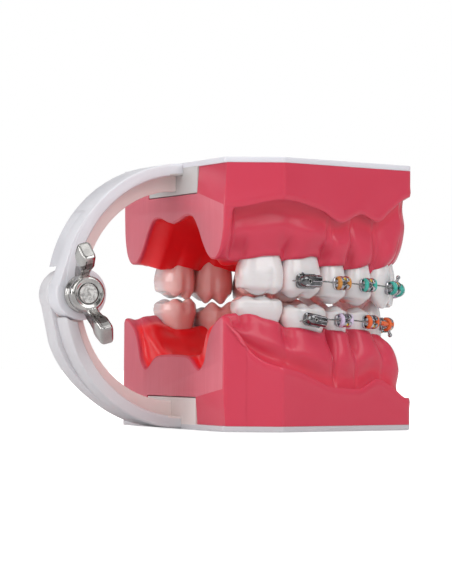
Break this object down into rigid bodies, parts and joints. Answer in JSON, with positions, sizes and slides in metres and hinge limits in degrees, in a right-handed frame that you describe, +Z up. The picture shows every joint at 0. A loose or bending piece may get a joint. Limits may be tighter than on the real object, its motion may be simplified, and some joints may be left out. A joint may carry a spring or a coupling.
{
  "type": "typodont model",
  "caption": "Hinged orthodontic practice jaws: pink gum blocks, removable teeth, brackets and archwires on a plastic articulator frame with bolt and wing nut.",
  "frame": {"origin": "centre of the underside of the lower base plate, on the midline, halfway between the rear face and the front of the blocks", "axes": "+Z up, -Y towards the patient's front, -X towards the patient's right, +Y towards the hinge"},
  "size_m": [0.0668, 0.0787, 0.053],
  "materials": {
    "gum_resin": "satin pink acrylic resin",
    "white_plastic": "satin injection moulding",
    "tooth_enamel": "glossy white resin teeth",
    "bracket_steel": "satin stainless steel",
    "wire_steel": "drawn stainless steel wire",
    "plated_hardware": "nickel plated",
    "ligature_gold": "elastic ligature",
    "ligature_teal": "elastic ligature",
    "ligature_lilac": "elastic ligature",
    "ligature_orange": "elastic ligature"
  },
  "bodies": {
    "lower_jaw": {"lower_archwire": "wire_steel", "lower_frame": "white_plastic", "lower_gum_block": "gum_resin", "lower_left_canine": "tooth_enamel", "lower_left_canine_bracket": "bracket_steel", "lower_left_central_incisor": "tooth_enamel", "lower_left_central_incisor_bracket": "bracket_steel", "lower_left_first_molar": "tooth_enamel", "lower_left_first_molar_tube": "bracket_steel", "lower_left_first_premolar": "tooth_enamel", "lower_left_first_premolar_bracket": "bracket_steel", "lower_left_lateral_incisor": "tooth_enamel", "lower_left_lateral_incisor_bracket": "bracket_steel", "lower_left_second_molar": "tooth_enamel", "lower_left_second_premolar": "tooth_enamel", "lower_left_second_premolar_bracket": "bracket_steel", "lower_right_canine": "tooth_enamel", "lower_right_canine_bracket": "bracket_steel", "lower_right_central_incisor": "tooth_enamel", "lower_right_central_incisor_bracket": "bracket_steel", "lower_right_first_molar": "tooth_enamel", "lower_right_first_molar_tube": "bracket_steel", "lower_right_first_premolar": "tooth_enamel", "lower_right_first_premolar_bracket": "bracket_steel", "lower_right_lateral_incisor": "tooth_enamel", "lower_right_lateral_incisor_bracket": "bracket_steel", "lower_right_second_molar": "tooth_enamel", "lower_right_second_premolar": "tooth_enamel", "lower_right_second_premolar_bracket": "bracket_steel", "hinge_bolt": "plated_hardware"},
    "upper_jaw": {"upper_archwire": "wire_steel", "upper_frame": "white_plastic", "upper_gum_block": "gum_resin", "upper_left_canine": "tooth_enamel", "upper_left_canine_bracket": "bracket_steel", "upper_left_central_incisor": "tooth_enamel", "upper_left_central_incisor_bracket": "bracket_steel", "upper_left_first_molar": "tooth_enamel", "upper_left_first_molar_tube": "bracket_steel", "upper_left_first_premolar": "tooth_enamel", "upper_left_first_premolar_bracket": "bracket_steel", "upper_left_lateral_incisor": "tooth_enamel", "upper_left_lateral_incisor_bracket": "bracket_steel", "upper_left_second_molar": "tooth_enamel", "upper_left_second_premolar": "tooth_enamel", "upper_left_second_premolar_bracket": "bracket_steel", "upper_right_canine": "tooth_enamel", "upper_right_canine_bracket": "bracket_steel", "upper_right_central_incisor": "tooth_enamel", "upper_right_central_incisor_bracket": "bracket_steel", "upper_right_first_molar": "tooth_enamel", "upper_right_first_molar_tube": "bracket_steel", "upper_right_first_premolar": "tooth_enamel", "upper_right_first_premolar_bracket": "bracket_steel", "upper_right_lateral_incisor": "tooth_enamel", "upper_right_lateral_incisor_bracket": "bracket_steel", "upper_right_second_molar": "tooth_enamel", "upper_right_second_premolar": "tooth_enamel", "upper_right_second_premolar_bracket": "bracket_steel"},
    "nut": {"wing_nut": "plated_hardware"}
  },
  "joints": [
    {"name": "jaw_hinge", "type": "hinge", "parent": "lower_jaw", "child": "upper_jaw", "pos_m": [0, 0.047, 0.0266], "axis": [-1, 0, 0], "range_deg": [0, 100]},
    {"name": "nut_turn", "type": "hinge", "parent": "lower_jaw", "child": "nut", "pos_m": [-0.008, 0.047, 0.0266], "axis": [-1, 0, 0], "continuous": true}
  ]
}
